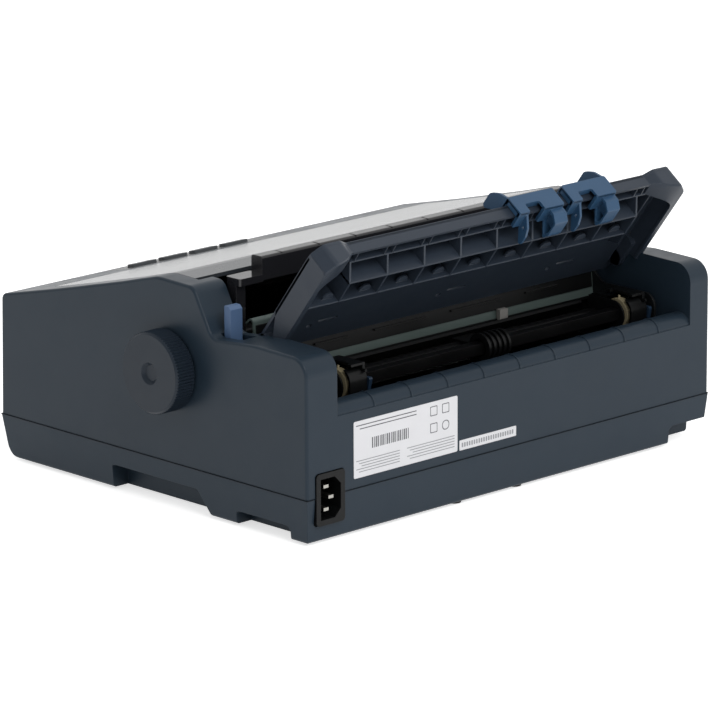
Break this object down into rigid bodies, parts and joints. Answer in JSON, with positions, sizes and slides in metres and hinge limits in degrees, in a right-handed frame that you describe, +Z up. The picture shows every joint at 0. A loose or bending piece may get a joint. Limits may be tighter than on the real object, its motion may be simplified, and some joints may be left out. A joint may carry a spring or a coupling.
{
  "type": "dot matrix printer",
  "caption": "Desktop dot matrix printer with a folding ribbed paper guide raised over its rear tractors, a platen knob, print carriage, hinged cover and push buttons.",
  "frame": {"origin": "centre of the base of the whole printer, on the surface its feet stand on", "axes": "+X to the side with the platen knob, +Y to the rear with the paper guide and the mains inlet, +Z up"},
  "size_m": [0.364, 0.2777, 0.1822],
  "materials": {
    "case_plastic": "satin",
    "base_plastic": "satin",
    "cover_plastic": "satin",
    "knob_plastic": "satin",
    "guide_plastic": "satin",
    "blue_plastic": "satin",
    "lever_plastic": "satin",
    "black_plastic": "matte",
    "gloss_black": "gloss",
    "gear_plastic": "satin",
    "sprocket_plastic": "satin",
    "white_plastic": "satin",
    "button_plastic": "satin",
    "panel_plastic": "satin",
    "platen_rubber": "matte",
    "foot_rubber": "matte",
    "steel": "satin",
    "zinc_sheet": "satin",
    "black_sheet": "satin",
    "olive_sheet": "satin",
    "head_metal": "matte",
    "motor_metal": "satin",
    "brass": "satin",
    "contact_metal": "polished",
    "board": "satin",
    "belt_rubber": "matte"
  },
  "bodies": {
    "case": {"lower_case": "base_plastic", "upper_case": "case_plastic", "control_panel": "panel_plastic", "button_board": "board", "rubber_feet": "foot_rubber", "case_screws": "steel", "base_shield": "zinc_sheet", "right_side_frame": "black_sheet", "left_side_frame": "black_sheet", "feed_motor": "motor_metal", "tractor_guide_shaft": "steel", "paper_support": "black_plastic", "platen_rear_plate": "olive_sheet", "paper_chute": "black_plastic", "paper_sensor": "white_plastic", "carriage_rod": "steel", "carriage_rail": "zinc_sheet", "carriage_belt": "belt_rubber", "carriage_motor": "motor_metal", "ribbon_cartridge": "black_plastic", "inlet_housing": "black_plastic", "inlet_pins": "contact_metal", "interface_board": "board", "switch_frame": "black_plastic", "main_board": "board", "power_board": "board"},
    "platen": {"platen_shaft": "steel", "platen_roller": "platen_rubber", "platen_knob": "knob_plastic", "platen_gear": "gear_plastic"},
    "front_idler": {"front_idler_gear": "gear_plastic"},
    "rear_idler": {"rear_idler_gear": "gear_plastic"},
    "pinion": {"motor_pinion": "brass"},
    "tractor_drive": {"tractor_drive_shaft": "steel", "tractor_gear": "gear_plastic"},
    "right_tractor": {"right_tractor": "black_plastic"},
    "left_tractor": {"left_tractor": "black_plastic"},
    "right_flap": {"right_tractor_flap": "black_plastic"},
    "left_flap": {"left_tractor_flap": "black_plastic"},
    "right_lock": {"right_tractor_lock": "blue_plastic"},
    "left_lock": {"left_tractor_lock": "blue_plastic"},
    "right_sprocket": {"right_sprocket": "sprocket_plastic"},
    "left_sprocket": {"left_sprocket": "sprocket_plastic"},
    "carriage": {"print_carriage": "black_plastic", "print_head": "head_metal"},
    "drive_pulley": {"drive_pulley": "white_plastic"},
    "tension_pulley": {"tension_pulley": "white_plastic"},
    "cover": {"printer_cover": "cover_plastic"},
    "paper_guide": {"paper_guide": "guide_plastic"},
    "right_edge_guide": {"right_edge_guide": "blue_plastic"},
    "left_edge_guide": {"left_edge_guide": "blue_plastic"},
    "release_lever": {"release_lever": "lever_plastic"},
    "thickness_lever": {"thickness_lever": "blue_plastic"},
    "tension_unit": {"tension_unit": "gloss_black"},
    "tension_rollers": {"tension_rollers": "platen_rubber"},
    "power_rocker": {"power_rocker": "black_plastic"},
    "button_1": {"button_1": "button_plastic"},
    "button_2": {"button_2": "button_plastic"},
    "button_3": {"button_3": "button_plastic"},
    "button_4": {"button_4": "button_plastic"}
  },
  "joints": [
    {"name": "platen_spin", "type": "hinge", "parent": "case", "child": "platen", "pos_m": [-0.008, 0.01796, 0.087], "axis": [1, 0, 0], "continuous": true},
    {"name": "front_idler_spin", "type": "hinge", "parent": "case", "child": "front_idler", "pos_m": [0.149, 0.04877, 0.08045], "axis": [1, 0, 0], "continuous": true},
    {"name": "rear_idler_spin", "type": "hinge", "parent": "case", "child": "rear_idler", "pos_m": [0.149, 0.07484, 0.07345], "axis": [1, 0, 0], "continuous": true},
    {"name": "pinion_spin", "type": "hinge", "parent": "case", "child": "pinion", "pos_m": [0.149, 0.04877, 0.05945], "axis": [1, 0, 0], "continuous": true},
    {"name": "tractor_drive_spin", "type": "hinge", "parent": "case", "child": "tractor_drive", "pos_m": [-0.008, 0.10046, 0.082], "axis": [1, 0, 0], "continuous": true},
    {"name": "right_tractor_slide", "type": "slide", "parent": "case", "child": "right_tractor", "axis": [1, 0, 0], "range_m": [-0.08, 0.015]},
    {"name": "right_sprocket_spin", "type": "hinge", "parent": "right_tractor", "child": "right_sprocket", "pos_m": [0.1, 0.10046, 0.082], "axis": [1, 0, 0], "continuous": true},
    {"name": "right_flap_hinge", "type": "hinge", "parent": "right_tractor", "child": "right_flap", "pos_m": [0.0945, 0.10046, 0.0905], "axis": [0, 1, 0], "range_deg": [-100, 0]},
    {"name": "right_lock_hinge", "type": "hinge", "parent": "right_tractor", "child": "right_lock", "pos_m": [0.092, 0.11046, 0.075], "axis": [-1, 0, 0], "range_deg": [0, 40]},
    {"name": "left_tractor_slide", "type": "slide", "parent": "case", "child": "left_tractor", "axis": [1, 0, 0], "range_m": [-0.001, 0.02]},
    {"name": "left_sprocket_spin", "type": "hinge", "parent": "left_tractor", "child": "left_sprocket", "pos_m": [-0.144, 0.10046, 0.082], "axis": [1, 0, 0], "continuous": true},
    {"name": "left_flap_hinge", "type": "hinge", "parent": "left_tractor", "child": "left_flap", "pos_m": [-0.1495, 0.10046, 0.0905], "axis": [0, 1, 0], "range_deg": [-100, 0]},
    {"name": "left_lock_hinge", "type": "hinge", "parent": "left_tractor", "child": "left_lock", "pos_m": [-0.152, 0.11046, 0.075], "axis": [-1, 0, 0], "range_deg": [0, 40]},
    {"name": "carriage_slide", "type": "slide", "parent": "case", "child": "carriage", "axis": [1, 0, 0], "range_m": [-0.105, 0.105]},
    {"name": "drive_pulley_spin", "type": "hinge", "parent": "case", "child": "drive_pulley", "pos_m": [-0.134, -0.05954, 0.057], "axis": [0, 0, 1], "range_deg": [-750, 750]},
    {"name": "tension_pulley_spin", "type": "hinge", "parent": "case", "child": "tension_pulley", "pos_m": [0.112, -0.05954, 0.057], "axis": [0, 0, 1], "range_deg": [-750, 750]},
    {"name": "cover_hinge", "type": "hinge", "parent": "case", "child": "cover", "pos_m": [-0.008, 0.02346, 0.13622], "axis": [-1, 0, 0], "range_deg": [0, 60]},
    {"name": "paper_guide_hinge", "type": "hinge", "parent": "case", "child": "paper_guide", "pos_m": [-0.008, 0.07577, 0.10981], "axis": [-1, 0, 0], "range_deg": [0, 52.6]},
    {"name": "right_edge_guide_slide", "type": "slide", "parent": "paper_guide", "child": "right_edge_guide", "axis": [1, 0, 0], "range_m": [-0.003, 0.12]},
    {"name": "left_edge_guide_slide", "type": "slide", "parent": "paper_guide", "child": "left_edge_guide", "axis": [1, 0, 0], "range_m": [-0.023, 0.003]},
    {"name": "release_lever_hinge", "type": "hinge", "parent": "case", "child": "release_lever", "pos_m": [0.1555, 0.06046, 0.06], "axis": [-1, 0, 0], "range_deg": [0, 9]},
    {"name": "thickness_lever_hinge", "type": "hinge", "parent": "case", "child": "thickness_lever", "pos_m": [-0.161, -0.04154, 0.062], "axis": [-1, 0, 0], "range_deg": [0, 30]},
    {"name": "button_1_press", "type": "slide", "parent": "case", "child": "button_1", "axis": [0, 0.2296, -0.9733], "range_m": [0, 0.0008], "stiffness_N_per_m": 600, "springref_m": -0.0004},
    {"name": "button_2_press", "type": "slide", "parent": "case", "child": "button_2", "axis": [0, 0.2296, -0.9733], "range_m": [0, 0.0008], "stiffness_N_per_m": 600, "springref_m": -0.0004},
    {"name": "button_3_press", "type": "slide", "parent": "case", "child": "button_3", "axis": [0, 0.2296, -0.9733], "range_m": [0, 0.0008], "stiffness_N_per_m": 600, "springref_m": -0.0004},
    {"name": "button_4_press", "type": "slide", "parent": "case", "child": "button_4", "axis": [0, 0.2296, -0.9733], "range_m": [0, 0.0008], "stiffness_N_per_m": 600, "springref_m": -0.0004},
    {"name": "tension_unit_lift", "type": "slide", "parent": "case", "child": "tension_unit", "axis": [0, 0, 1], "range_m": [0, 0.025]},
    {"name": "tension_roller_spin", "type": "hinge", "parent": "tension_unit", "child": "tension_rollers", "pos_m": [-0.008, 0.03197, 0.1037], "axis": [1, 0, 0], "continuous": true},
    {"name": "power_rocker_hinge", "type": "hinge", "parent": "case", "child": "power_rocker", "pos_m": [-0.17175, -0.08754, 0.017], "axis": [0, 0, 1], "range_deg": [-5, 5]}
  ],
  "couplings": [
    {"joint": "front_idler_spin", "follows": "platen_spin", "ratio": -1.3333},
    {"joint": "rear_idler_spin", "follows": "platen_spin", "ratio": 1.3333},
    {"joint": "tractor_drive_spin", "follows": "platen_spin", "ratio": -1.3333},
    {"joint": "right_sprocket_spin", "follows": "platen_spin", "ratio": -1.3333},
    {"joint": "left_sprocket_spin", "follows": "platen_spin", "ratio": -1.3333},
    {"joint": "pinion_spin", "follows": "platen_spin", "ratio": 2.4},
    {"joint": "drive_pulley_spin", "follows": "carriage_slide", "rad_per_m": -123.46},
    {"joint": "tension_pulley_spin", "follows": "carriage_slide", "rad_per_m": -123.46}
  ]
}
